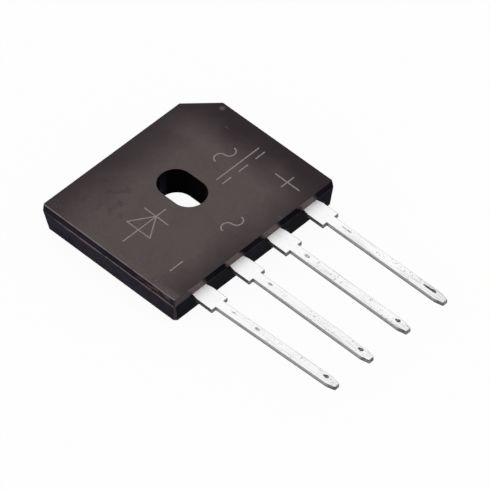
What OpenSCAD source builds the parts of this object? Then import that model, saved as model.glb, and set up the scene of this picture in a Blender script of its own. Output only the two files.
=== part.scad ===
// Single-phase bridge rectifier in a flat single-in-line moulded package.
//
// The back (heat-sink) face lies on Z = 0 and the marked face looks up.
// The origin is the centre of the screw slot on the back face.
// The four leads leave the end wall along -Y: minus at -X, plus at +X.

/* [Body] */
// Width of the moulded body at the parting line
body_w = 21.9; // [20.5:0.1:24]
// Height of the moulded body at the parting line, lead end to far end
body_h = 18.4; // [17.5:0.1:20.5]
// Thickness from the back face to the marked face
body_t = 3.43; // [3.2:0.01:4.2]
// Draft of the walls above the parting line, degrees
upper_draft = 5; // [1:0.5:9]
// Draft of the walls below the parting line, degrees
lower_draft = 6; // [1:0.5:12]
// Leg of the 45 degree corner beside the plus lead
corner_chamfer = 3.1; // [1.5:0.1:4]
// Leg of the small break on the other three corners
corner_break = 0.1; // [0.05:0.05:0.8]

/* [Screw slot] */
// Width of the slot, twice its end radius
slot_w = 3.75; // [3.2:0.05:4.2]
// Length of the slot from end to end
slot_len = 5.65; // [4.6:0.05:6.2]
// Distance from the far end of the body to the slot's upper arc centre
slot_from_top = 7.45; // [7.2:0.05:8.2]

/* [Leads] */
// Distance between neighbouring leads
lead_pitch = 5.08; // [4.8:0.01:5.4]
// Thickness of the lead strip
lead_t = 0.5; // [0.4:0.02:0.6]
// Depth of the leads' upper face below the marked face
lead_drop = 0.93; // [0.8:0.01:1.1]
// Free length of a lead from the body to its tip
lead_len = 18.2; // [10:0.1:22]
// Width of the slim part of a lead
pin_w = 1.08; // [0.9:0.01:1.4]
// Width of the broad part beside the body
shoulder_w = 2.18; // [1.8:0.02:2.6]
// Length of the broad part outside the body
shoulder_len = 2.8; // [1.5:0.1:4]
// Width of a lead where it leaves the body
root_w = 1.9; // [1.5:0.02:2.2]
// Length over which a lead widens from its root to the full shoulder
root_flare = 0.75; // [0.3:0.05:1.2]
// Width of the blunt end of a lead
tip_w = 0.62; // [0.3:0.02:0.9]
// Length of the taper at the tip
tip_taper = 1; // [0.4:0.1:2]
// Lean of the minus lead towards its neighbour, degrees
minus_lean = 1.5; // [0:0.1:3]
// Radius of the punch mark near each tip
punch_r = 0.2; // [0.15:0.05:0.4]
// Depth of that punch mark
punch_depth = 0.1; // [0.04:0.02:0.2]
// Distance of the punch mark from the tip
punch_from_tip = 1.5; // [1.1:0.1:3]
// Distance of the punch mark from the lead's centre line
punch_offset = 0.16; // [0:0.02:0.2]

/* [Inner pads] */
// Height of the pads' underside above the back face
pad_floor = 0.85; // [0.6:0.05:1]
// Width of a lead's neck inside the body
neck_w = 1.5; // [1.1:0.05:1.8]
// Depth inside the body at which a lead narrows to its neck
neck_from = 0.4; // [0.2:0.05:0.5]
// Length of a lead that stays level inside the body
level_len = 0.9; // [0.6:0.05:1.1]
// Length of the step from the leads down to the pads
step_len = 1; // [0.7:0.05:1.2]
// Compound left between the slot and the nearest metal
slot_wall = 0.9; // [0.5:0.05:1]
// Gap between neighbouring pads
pad_gap = 0.65; // [0.4:0.05:0.8]
// Gap between the plus band and the two input pads
band_gap = 1.3; // [0.8:0.05:1.6]
// Compound left outside the outermost pads
side_cover = 1.35; // [1.1:0.05:1.7]
// Rim of pad left around a chip
pad_rim = 0.2; // [0.1:0.05:0.25]
// Length of the tab that joins a lead to its pad
tab_len = 1.2; // [0.8:0.1:1.6]

/* [Chips, clips and solder] */
// Side of each square diode chip
die_size = 3; // [2.4:0.1:3.1]
// Thickness of a diode chip
die_t = 0.28; // [0.2:0.01:0.32]
// Thickness of every solder layer
solder_t = 0.06; // [0.04:0.01:0.08]
// Width of the copper clips
clip_w = 2; // [1.4:0.1:2.2]
// Thickness of the copper clips
clip_t = 0.25; // [0.15:0.01:0.3]
// Length of a clip's foot on its pad
foot_len = 1.5; // [1:0.1:1.6]
// Length of the step in a clip
clip_step = 0.6; // [0.4:0.05:0.7]

/* [Marking] */
// Depth of the marks cut by the laser
mark_depth = 0.03; // [0.02:0.01:0.06]
// Width of a marked stroke
mark_w = 0.2; // [0.1:0.02:0.3]
// Height of the tall marks
mark_h = 3.2; // [2:0.1:3.4]
// Height of the polarity row above the lead end
polarity_up = 3.1; // [2.4:0.1:3.6]
// Width of the plus and minus signs
sign_w = 1.66; // [1:0.02:2.4]
// Radius of the two arcs of each wave sign
wave_r = 0.64; // [0.4:0.02:0.8]
// Distance of the circuit signs from the middle of the body
symbol_out = 6; // [5.2:0.1:6.6]
// Distance of the circuit signs from the slot's centre, towards the leads
symbol_down = 0.85; // [0:0.05:1.6]
// Length of the long lines of the circuit signs
symbol_len = 5.8; // [4:0.1:6]

/* [Hidden] */
$fn = 48;
eps = 0.01;
body_top = slot_from_top + (slot_len - slot_w) / 2;
body_bottom = body_top - body_h;
parting_z = body_t - lead_drop;
lead_z = parting_z - lead_t;
upper_inset = lead_drop * tan(upper_draft);
lower_inset = parting_z * tan(lower_draft);
reach = body_w + body_h;

lead_x = [for (i = [0:3]) (i - 1.5) * lead_pitch];
tip_y = body_bottom - lead_len;
shoulder_y = body_bottom - shoulder_len;

pad_top = pad_floor + lead_t;
pad_y = body_bottom + level_len + step_len;
pad_in = slot_w / 2 + slot_wall;
pad_out = pad_in + die_size + 2 * pad_rim;
strip_in = pad_out + pad_gap;
strip_out = body_w / 2 - side_cover;
band_lo = slot_len / 2 + slot_wall;
band_hi = band_lo + die_size + 2 * pad_rim;
input_hi = band_lo - band_gap;
// Sum of X and Y along the plus pad's cut corner, with the same cover as at the sides
corner_sum = body_w / 2 + body_top - corner_chamfer - side_cover * sqrt(2);

die_x = (pad_in + pad_out) / 2;
upper_die_y = (band_lo + band_hi) / 2;
lower_die_y = -slot_len / 2 - slot_wall - clip_w / 2;
die_z = pad_top + solder_t;
cap_z = die_z + die_t;
clip_z = cap_z + solder_t;
foot_z = pad_top + solder_t;
clip_half = clip_w / 2;
minus_foot_x = -strip_in - pad_rim - foot_len;
input_foot_y = input_hi - pad_rim - foot_len;

polarity_y = body_bottom + polarity_up;
sign_half = sign_w / 2;
mark_half = mark_h / 2;
symbol_half = symbol_len / 2;

// How far a strip's two faces shift along it at each bend of a step, so that the
// strip keeps its thickness on the slope
function bend_shift(thick, rise, run) = thick / 2 * tan(atan2(rise, run) / 2);

// ---------------------------------------------------------------- body

// A slab from lo to hi along the direction turned by angle, drafted both ways
module drafted_slab(lo, hi, angle) {
    rotate([0, 0, angle])
        rotate([90, 0, 0])
            linear_extrude(height = 2 * reach, center = true)
                polygon([
                    [lo + lower_inset, 0],
                    [hi - lower_inset, 0],
                    [hi, parting_z],
                    [hi - upper_inset, body_t],
                    [lo + upper_inset, body_t],
                    [lo, parting_z]
                ]);
}

// The moulding without its slot: four drafted slabs in common
module body_blank() {
    half = body_w / 2;
    intersection() {
        drafted_slab(-half, half, 0);
        drafted_slab(body_bottom, body_top, 90);
        drafted_slab(
            (body_bottom - half + corner_break) / sqrt(2),
            (body_top + half - corner_chamfer) / sqrt(2), 45);
        drafted_slab(
            (body_bottom - half + corner_break) / sqrt(2),
            (body_top + half - corner_break) / sqrt(2), 135);
    }
}

// The slot for the fixing screw, open at both faces
module screw_slot() {
    arc = (slot_len - slot_w) / 2;
    for (side = [-1, 1])
        translate([0, side * arc, -eps])
            cylinder(d = slot_w, h = body_t + 2 * eps, $fn = 96);
    translate([-slot_w / 2, -arc, -eps])
        cube([slot_w, 2 * arc, body_t + 2 * eps]);
}

// One straight stroke of the marking between two points, with round ends
module stroke(a, b) {
    along = b - a;
    translate([a[0], a[1], body_t - mark_depth])
        rotate([0, 0, atan2(along[1], along[0])]) {
            translate([0, -mark_w / 2, 0])
                cube([norm(along), mark_w, 2 * mark_depth]);
            for (x = [0, norm(along)])
                translate([x, 0, 0])
                    cylinder(d = mark_w, h = 2 * mark_depth, $fn = 16);
        }
}

// A wave sign: an upper half ring, then a lower one
module wave(x, y) {
    for (side = [-1, 1])
        translate([x + side * wave_r, y, body_t - mark_depth])
            rotate([0, 0, side > 0 ? 180 : 0])
                rotate_extrude(angle = 180)
                    translate([wave_r - mark_w / 2, 0])
                        square([mark_w, 2 * mark_depth]);
}

module minus_sign() {
    x = lead_x[0];
    stroke([x - sign_half, polarity_y], [x + sign_half, polarity_y]);
}

module plus_sign() {
    x = lead_x[3];
    stroke([x - sign_half, polarity_y], [x + sign_half, polarity_y]);
    stroke([x, polarity_y - mark_half], [x, polarity_y + mark_half]);
}

// The circuit sign of a diode, left of the slot
module diode_symbol() {
    tail = -sign_half;
    nose = mark_half;
    translate([-symbol_out, -symbol_down, 0]) {
        stroke([-symbol_half, 0], [symbol_half, 0]);
        stroke([tail, -mark_half], [tail, mark_half]);
        stroke([tail, -mark_half], [nose, 0]);
        stroke([tail, mark_half], [nose, 0]);
        stroke([nose, -mark_half], [nose, mark_half]);
    }
}

// Alternating in, direct out: a wave over a plain and a broken line
module supply_symbol() {
    line_gap = mark_h / 4;
    dash = symbol_len / 5;
    translate([symbol_out, -symbol_down, 0]) {
        wave(0, mark_half - wave_r);
        stroke([-symbol_half, line_gap - mark_half], [symbol_half, line_gap - mark_half]);
        for (i = [0, 2, 4])
            stroke([i * dash - symbol_half, -mark_half], [(i + 1) * dash - symbol_half, -mark_half]);
    }
}

module marking() {
    minus_sign();
    plus_sign();
    wave(0, polarity_y);
    diode_symbol();
    supply_symbol();
}

module body() {
    color("#4a4340")
        difference() {
            body_blank();
            screw_slot();
            marking();
            inner_parts();
        }
}

// --------------------------------------------------------------- leads

// The outside outline of a lead around X = 0, from its level root to its tip
module lead_outline(lean) {
    half = shoulder_w / 2;
    root = root_w / 2;
    pin = pin_w / 2;
    flare_y = body_bottom - root_flare;
    lock_y = body_bottom + neck_from;
    polygon([
        [-root, lock_y],
        [root, lock_y],
        [root, body_bottom],
        [half, flare_y],
        [half, shoulder_y],
        [-half, shoulder_y],
        [-half, flare_y],
        [-root, body_bottom]
    ]);
    translate([0, shoulder_y])
        rotate(lean)
            polygon([
                [-pin, pin],
                [pin, pin],
                [pin, tip_y - shoulder_y + tip_taper],
                [tip_w / 2, tip_y - shoulder_y],
                [-tip_w / 2, tip_y - shoulder_y],
                [-pin, tip_y - shoulder_y + tip_taper]
            ]);
}

// The punch mark near a tip, a shallow cap of a ball
module punch_mark(lean) {
    ball = (punch_r * punch_r + punch_depth * punch_depth) / (2 * punch_depth);
    translate([0, shoulder_y, 0])
        rotate([0, 0, lean])
            translate([punch_offset, tip_y - shoulder_y + punch_from_tip, lead_t + ball - punch_depth])
                sphere(r = ball, $fn = 48);
}

// The neck inside the body: level, a step down to the pads, and a tab beside the pad
module lead_neck() {
    bend_y = body_bottom + level_len;
    shift = bend_shift(lead_t, lead_z - pad_floor, step_len);
    translate([-neck_w / 2, 0, 0])
        rotate([90, 0, 90])
            linear_extrude(height = neck_w)
                polygon([
                    [body_bottom, lead_z],
                    [bend_y - shift, lead_z],
                    [pad_y - shift, pad_floor],
                    [pad_y + tab_len, pad_floor],
                    [pad_y + tab_len, pad_top],
                    [pad_y + shift, pad_top],
                    [bend_y + shift, parting_z],
                    [body_bottom, parting_z]
                ]);
}

// A lead from its tip to the tab that its pad grows from
module lead(i, lean = 0) {
    translate([lead_x[i], 0, 0]) {
        translate([0, 0, lead_z])
            difference() {
                linear_extrude(height = lead_t)
                    lead_outline(lean);
                punch_mark(lean);
            }
        lead_neck();
    }
}

// A flat pad between two corners
module pad(x0, x1, y0, y1) {
    translate([x0, y0, pad_floor])
        cube([x1 - x0, y1 - y0, lead_t]);
}

module lead_minus() {
    color("#d9dadb") {
        lead(0, minus_lean);
        pad(-strip_out, -strip_in, pad_y, lower_die_y + clip_half + pad_rim);
    }
}

module lead_ac_1() {
    color("#d9dadb") {
        lead(1);
        pad(-pad_out, -pad_in, pad_y, input_hi);
    }
}

module lead_ac_2() {
    color("#d9dadb") {
        lead(2);
        pad(pad_in, pad_out, pad_y, input_hi);
    }
}

// The plus lead carries a strip up the side and a band over the slot
module lead_plus() {
    corner_x = min(strip_out, corner_sum - band_hi);
    corner_y = min(band_hi, corner_sum - strip_out);
    color("#d9dadb") {
        lead(3);
        translate([0, 0, pad_floor])
            linear_extrude(height = lead_t)
                polygon([
                    [strip_in, pad_y],
                    [strip_out, pad_y],
                    [strip_out, corner_y],
                    [corner_x, band_hi],
                    [-pad_out, band_hi],
                    [-pad_out, band_lo],
                    [strip_in, band_lo]
                ]);
    }
}

// ---------------------------------------------------- chips and solder

// A square layer centred on a point
module layer(x, y, z, side, thick) {
    translate([x - side / 2, y - side / 2, z])
        cube([side, side, thick]);
}

module die(x, y) {
    color("#5b6270")
        layer(x, y, die_z, die_size, die_t);
}

module die_solder(x, y) {
    color("#a9adb0")
        layer(x, y, pad_top, die_size, solder_t);
}

module top_solder(x, y) {
    color("#a9adb0")
        layer(x, y, cap_z, clip_w, solder_t);
}

module foot_solder(x0, x1, y0, y1) {
    color("#a9adb0")
        translate([x0, y0, pad_top])
            cube([x1 - x0, y1 - y0, solder_t]);
}

// --------------------------------------------------------------- clips

// Side outline of a clip strip: a foot at the start, then a step up to the top level
module clip_profile(level_end) {
    top = foot_len + clip_step;
    shift = bend_shift(clip_t, clip_z - foot_z, clip_step);
    polygon([
        [0, foot_z],
        [foot_len + shift, foot_z],
        [top + shift, clip_z],
        [level_end, clip_z],
        [level_end, clip_z + clip_t],
        [top - shift, clip_z + clip_t],
        [foot_len - shift, foot_z + clip_t],
        [0, foot_z + clip_t]
    ]);
}

// The long clip joins the chips on both input pads to the minus pad
module clip_minus() {
    span = die_x + clip_half - minus_foot_x;
    color("#b87333")
        translate([minus_foot_x, lower_die_y + clip_half, 0])
            rotate([90, 0, 0])
                linear_extrude(height = clip_w)
                    clip_profile(span);
}

// A short clip joins a chip on the plus band to one input pad
module clip_input(x) {
    span = upper_die_y + clip_half - input_foot_y;
    color("#b87333")
        translate([x - clip_half, input_foot_y, 0])
            rotate([90, 0, 90])
                linear_extrude(height = clip_w)
                    clip_profile(span);
}

module clip_ac_1() {
    clip_input(-die_x);
}

module clip_ac_2() {
    clip_input(die_x);
}

module foot_solder_minus() {
    foot_solder(minus_foot_x, minus_foot_x + foot_len,
        lower_die_y - clip_half, lower_die_y + clip_half);
}

module foot_solder_input(x) {
    foot_solder(x - clip_half, x + clip_half, input_foot_y, input_foot_y + foot_len);
}

// Everything that the compound is moulded around
module inner_parts() {
    lead_minus();
    lead_ac_1();
    lead_ac_2();
    lead_plus();
    for (x = [-die_x, die_x]) {
        for (y = [upper_die_y, lower_die_y]) {
            die(x, y);
            die_solder(x, y);
            top_solder(x, y);
        }
        clip_input(x);
        foot_solder_input(x);
    }
    clip_minus();
    foot_solder_minus();
}

body();
lead_minus();
lead_ac_1();
lead_ac_2();
lead_plus();
die(-die_x, upper_die_y);  // die_1
die(die_x, upper_die_y);  // die_2
die(-die_x, lower_die_y);  // die_3
die(die_x, lower_die_y);  // die_4
die_solder(-die_x, upper_die_y);  // die_solder_1
die_solder(die_x, upper_die_y);  // die_solder_2
die_solder(-die_x, lower_die_y);  // die_solder_3
die_solder(die_x, lower_die_y);  // die_solder_4
top_solder(-die_x, upper_die_y);  // top_solder_1
top_solder(die_x, upper_die_y);  // top_solder_2
top_solder(-die_x, lower_die_y);  // top_solder_3
top_solder(die_x, lower_die_y);  // top_solder_4
clip_minus();
clip_ac_1();
clip_ac_2();
foot_solder_minus();
foot_solder_input(-die_x);  // foot_solder_ac_1
foot_solder_input(die_x);  // foot_solder_ac_2
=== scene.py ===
"""Bridge rectifier: moulded body, tinned leads and the circuit sealed inside.

Pieces are modelled in millimetres, in the row's own frame, and settled into metres last.
The back face lies on Z = 0, the marked face looks up and the leads point along -Y.
"""

import logging
import math
from dataclasses import dataclass, field
from enum import Enum
from typing import Callable, Sequence

import bmesh
import bpy
from mathutils import Matrix, Vector

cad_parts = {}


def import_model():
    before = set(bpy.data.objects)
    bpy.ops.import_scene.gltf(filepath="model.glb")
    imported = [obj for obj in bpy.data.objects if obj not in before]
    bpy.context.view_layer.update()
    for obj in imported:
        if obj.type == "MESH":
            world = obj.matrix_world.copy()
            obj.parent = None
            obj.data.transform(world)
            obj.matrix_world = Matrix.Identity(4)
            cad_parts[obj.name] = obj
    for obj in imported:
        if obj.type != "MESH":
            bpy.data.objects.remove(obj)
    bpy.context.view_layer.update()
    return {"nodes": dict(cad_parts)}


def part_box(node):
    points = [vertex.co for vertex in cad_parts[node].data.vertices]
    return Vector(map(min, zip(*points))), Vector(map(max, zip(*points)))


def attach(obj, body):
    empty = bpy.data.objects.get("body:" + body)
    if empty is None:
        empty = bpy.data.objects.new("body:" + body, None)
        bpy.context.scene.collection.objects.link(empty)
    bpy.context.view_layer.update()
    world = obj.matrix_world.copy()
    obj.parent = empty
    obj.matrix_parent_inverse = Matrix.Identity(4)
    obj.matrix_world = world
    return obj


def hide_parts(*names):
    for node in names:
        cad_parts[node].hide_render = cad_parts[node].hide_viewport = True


LOG = logging.getLogger("bridge_rectifier")
MM = 0.001  # a millimetre in metres
SLIVER = 0.0005  # points nearer than this are merged, in millimetres
TOUCH = 0.001  # coordinates nearer than this are the same, in millimetres
Colour = tuple[float, float, float, float]
Point = tuple[float, float]
Test = Callable[[Vector], bool]
Piece = bpy.types.Object
Socket = bpy.types.NodeSocket


# ------------------------------------------------------------------ hand tools


class Kind(Enum):
    """The kind of mesh element that is picked, with the operators' own name for it."""

    VERTICES = "VERT"
    EDGES = "EDGE"
    FACES = "FACE"


class Axis(Enum):
    """A direction that a cutting plane faces."""

    X = (1.0, 0.0, 0.0)
    Y = (0.0, 1.0, 0.0)


def clear() -> None:
    """Leave edit mode and deselect every object."""
    if bpy.context.object and bpy.context.object.mode != "OBJECT":
        bpy.ops.object.mode_set(mode="OBJECT")
    bpy.ops.object.select_all(action="DESELECT")


def take(piece: Piece) -> None:
    """Make piece the active and only selected object.

    Args:
        piece: the object to take up.
    """
    clear()
    piece.select_set(True)
    bpy.context.view_layer.objects.active = piece


def settle_place(name: str) -> Piece:
    """Name the new active object and put its place and size into its mesh.

    Args:
        name: the object's name.

    Returns:
        The object, with its origin at the row's origin.
    """
    piece = bpy.context.object
    piece.name = name
    bpy.ops.object.transform_apply(location=True, rotation=True, scale=True)
    return piece


def block(name: str, low: Sequence[float], high: Sequence[float]) -> Piece:
    """Add a box between two corners.

    Args:
        name: the object's name.
        low: the lowest corner, in millimetres.
        high: the highest corner, in millimetres.

    Returns:
        The box as a mesh object.
    """
    clear()
    start, end = Vector(low), Vector(high)
    bpy.ops.mesh.primitive_cube_add(size=1, location=(start + end) / 2)
    bpy.ops.transform.resize(value=end - start)
    return settle_place(name)


def sheet(name: str, low: Point, high: Point, z: float) -> Piece:
    """Add a flat level sheet between two corners.

    Args:
        name: the object's name.
        low: the lowest corner in X and Y, in millimetres.
        high: the highest corner in X and Y, in millimetres.
        z: the sheet's height, in millimetres.

    Returns:
        The sheet as a mesh object whose face looks up.
    """
    clear()
    middle = ((low[0] + high[0]) / 2, (low[1] + high[1]) / 2, z)
    bpy.ops.mesh.primitive_plane_add(size=1, location=middle)
    bpy.ops.transform.resize(value=(high[0] - low[0], high[1] - low[1], 1))
    return settle_place(name)


def edit(piece: Piece, kind: Kind) -> None:
    """Open piece in edit mode with nothing selected, ready to pick one kind of element.

    Args:
        piece: the object to open.
        kind: the kind of element to pick.
    """
    take(piece)
    bpy.ops.object.mode_set(mode="EDIT")
    bpy.ops.mesh.select_mode(type=kind.value)
    bpy.ops.mesh.select_all(action="DESELECT")


def pick_all() -> None:
    """Select everything in the open piece."""
    bpy.ops.mesh.select_all(action="SELECT")


def choose(piece: Piece, kind: Kind, wanted: Callable[[bmesh.types.BMesh], list]) -> None:
    """Select some elements of an open piece and nothing else.

    Args:
        piece: the object that is open in edit mode.
        kind: the kind of element.
        wanted: is given the piece's mesh and returns the elements to select.
    """
    bpy.ops.mesh.select_mode(type=kind.value)
    bpy.ops.mesh.select_all(action="DESELECT")
    mesh = bmesh.from_edit_mesh(piece.data)
    for element in wanted(mesh):
        element.select_set(True)
    mesh.select_flush_mode()
    bmesh.update_edit_mesh(piece.data)


def pick(piece: Piece, kind: Kind, test: Test, min_angle: float = 0.0) -> None:
    """Select the elements of an open piece whose middle passes a test.

    Args:
        piece: the object that is open in edit mode.
        kind: the kind of element.
        test: is given an element's middle and says whether it is wanted.
        min_angle: for edges, the least angle in degrees between the two faces.
    """

    def passing(mesh: bmesh.types.BMesh) -> list:
        """Return the elements of a mesh that pass.

        Args:
            mesh: the open piece's mesh.

        Returns:
            The elements.
        """
        if kind is Kind.VERTICES:
            return [v for v in mesh.verts if test(v.co)]
        if kind is Kind.FACES:
            return [f for f in mesh.faces if test(f.calc_center_median())]
        least = math.radians(min_angle)
        sharp = [e for e in mesh.edges if e.calc_face_angle(math.pi) >= least]
        return [e for e in sharp if test((e.verts[0].co + e.verts[1].co) / 2)]

    choose(piece, kind, passing)


def pick_facing(piece: Piece, test: Test) -> None:
    """Select the faces of an open piece whose normal passes a test."""
    choose(piece, Kind.FACES, lambda mesh: [f for f in mesh.faces if test(f.normal)])


def meets(value: float, level: float) -> bool:
    """Say whether two coordinates are the same but for rounding."""
    return abs(value - level) < TOUCH


def merge() -> None:
    """Merge the points of the open piece that all but touch."""
    pick_all()
    bpy.ops.mesh.remove_doubles(threshold=SLIVER)


def shear(place: Sequence[float], facing: Sequence[float], fill: bool = True) -> None:
    """Cut away all of the open piece that lies beyond a plane.

    Args:
        place: a point on the plane, in millimetres.
        facing: the direction in which everything is cut away.
        fill: whether the cut is closed with a face.
    """
    pick_all()
    bpy.ops.mesh.bisect(plane_co=place, plane_no=facing, use_fill=fill, clear_outer=True)


def score(piece: Piece, axis: Axis, at: float) -> None:
    """Scribe a line of new edges across the whole of an open piece.

    Args:
        piece: the object that is open in edit mode; not used.
        axis: the direction that the cutting plane faces.
        at: the plane's place along that axis, in millimetres.
    """
    pick_all()
    place = Vector(axis.value) * at
    bpy.ops.mesh.bisect(plane_co=place, plane_no=axis.value, use_fill=False)


def extrude_edges(move: Sequence[float]) -> None:
    """Draw the selected edges out by a move, in millimetres."""
    bpy.ops.mesh.extrude_edges_move(TRANSFORM_OT_translate={"value": tuple(move)})


def modify(piece: Piece, kind: str, **settings: object) -> None:
    """Add a modifier to a piece, set it and apply it.

    Args:
        piece: the object to change.
        kind: the modifier's type.
        settings: the modifier's values by name.
    """
    take(piece)
    bpy.ops.object.modifier_add(type=kind)
    modifier = piece.modifiers[-1]
    for name, value in settings.items():
        setattr(modifier, name, value)
    bpy.ops.object.modifier_apply(modifier=modifier.name)


def join(name: str, pieces: Sequence[Piece]) -> Piece:
    """Join several objects into one.

    Args:
        name: the joined object's name.
        pieces: the objects, of which the first keeps its place.

    Returns:
        The joined object.
    """
    take(pieces[0])
    for piece in pieces[1:]:
        piece.select_set(True)
    bpy.ops.object.join()
    pieces[0].name = name
    return pieces[0]


def combine(
    piece: Piece, tool: Piece, operation: str, solver: str = "EXACT"
) -> None:
    """Cut a tool out of a piece, or weld it on, and throw the tool away.

    Args:
        piece: the object to change.
        tool: the object that cuts or is welded on; its finish goes with its faces.
        operation: DIFFERENCE or UNION.
        solver: EXACT, or MANIFOLD where two closed pieces meet in many faces.
    """
    modify(
        piece,
        "BOOLEAN",
        object=tool,
        operation=operation,
        solver=solver,
        use_self=True,
        material_mode="TRANSFER",
    )
    take(tool)
    bpy.ops.object.delete()


def copy_of(piece: Piece, name: str) -> Piece:
    """Return a copy of a piece with a mesh of its own.

    Args:
        piece: the object to copy.
        name: the copy's name.

    Returns:
        The copy.
    """
    take(piece)
    bpy.ops.object.duplicate()
    bpy.context.object.name = name
    return bpy.context.object


def rescale(piece: Piece, factor: float) -> None:
    """Scale a piece about the row's origin and put that into its mesh.

    Args:
        piece: the object to scale.
        factor: how many times larger it gets.
    """
    take(piece)
    bpy.ops.transform.resize(value=(factor, factor, factor), center_override=(0, 0, 0))
    bpy.ops.object.transform_apply(location=True, rotation=True, scale=True)


def casting(node: Piece) -> Piece:
    """Copy a sealed node as a tool that cuts its room out of the body.

    Args:
        node: a node of the frame, in metres, which is left as it is.

    Returns:
        The copy, its loose triangles merged, in millimetres.
    """
    tool = copy_of(node, "casting")
    rescale(tool, 1 / MM)
    edit(tool, Kind.VERTICES)
    merge()
    clear()
    return tool


def weld(piece: Piece) -> None:
    """Merge the slivers that cutting leaves in a piece.

    Args:
        piece: the object to clean.
    """
    edit(piece, Kind.VERTICES)
    merge()
    pick_all()
    bpy.ops.mesh.dissolve_degenerate(threshold=SLIVER / 2)
    clear()


def smooth(piece: Piece, angle: float = 35.0) -> None:
    """Shade a piece smooth over its rounded edges and flat on its flats.

    Args:
        piece: the object to shade.
        angle: edges sharper than this, in degrees, stay sharp.
    """
    take(piece)
    bpy.ops.object.shade_smooth_by_angle(angle=math.radians(angle))
    modify(piece, "WEIGHTED_NORMAL", keep_sharp=True, weight=100)


def hand_over(piece: Piece, node: str) -> None:
    """Settle a finished piece into metres and let it stand for a node of the frame.

    Args:
        piece: the finished object.
        node: the node that it stands for.
    """
    rescale(piece, MM)
    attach(piece, "root")
    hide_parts(node)
    LOG.info("%s stands for %s, %d faces", piece.name, node, len(piece.data.polygons))


# -------------------------------------------------------------------- finishes


def tone(red: int, green: int, blue: int) -> Colour:
    """Turn a screen colour of 0 to 255 a channel into the linear colour a shader takes."""

    def linear(level: int) -> float:
        """Return one channel as linear light."""
        share = level / 255
        return share / 12.92 if share <= 0.04045 else ((share + 0.055) / 1.055) ** 2.4

    return (linear(red), linear(green), linear(blue), 1.0)


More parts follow.
